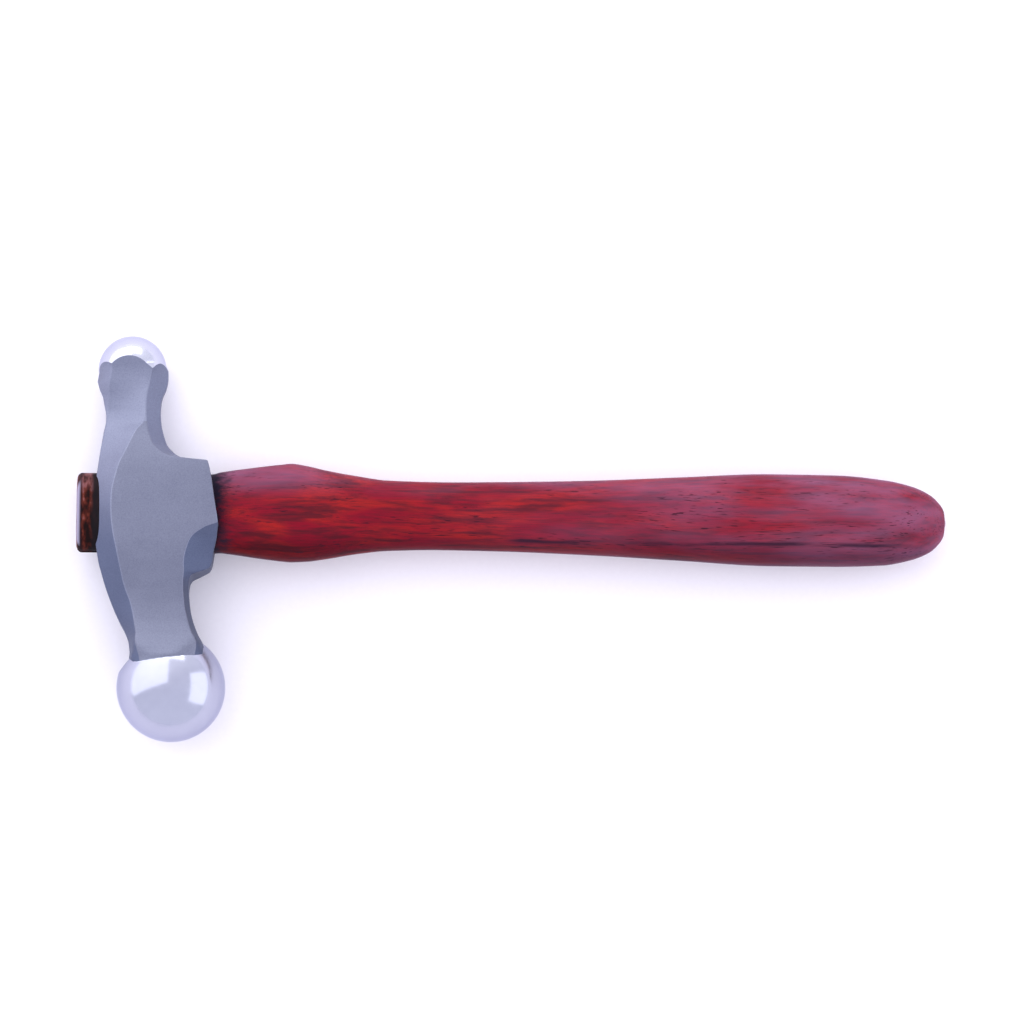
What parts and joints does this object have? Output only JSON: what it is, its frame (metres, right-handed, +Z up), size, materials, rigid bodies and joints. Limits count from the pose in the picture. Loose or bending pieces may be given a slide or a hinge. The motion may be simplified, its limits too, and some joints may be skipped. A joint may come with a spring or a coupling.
{
  "type": "embossing hammer",
  "caption": "Embossing hammer with a large polished ball face, a small polished dome face and a waisted hardwood handle.",
  "frame": {"origin": "middle of the bottom of the hammer's box, on the flat surface that it lies on", "axes": "+X along the handle from the head to the grip's end, +Y across it toward the small dome, +Z up from the surface out of the upper cheek"},
  "size_m": [0.203, 0.0952, 0.0253],
  "materials": {
    "head_steel": "bead-blasted satin body with mirror-polished ball and dome",
    "handle_wood": "oiled and polished red hardwood, satin gloss",
    "wedge_wood": "sanded end grain, dull",
    "wedge_steel": "filed bare steel, dull"
  },
  "bodies": {
    "root": {"head": "head_steel", "handle": "handle_wood", "kerf_wedge": "wedge_wood", "steel_wedge": "wedge_steel"}
  },
  "joints": []
}
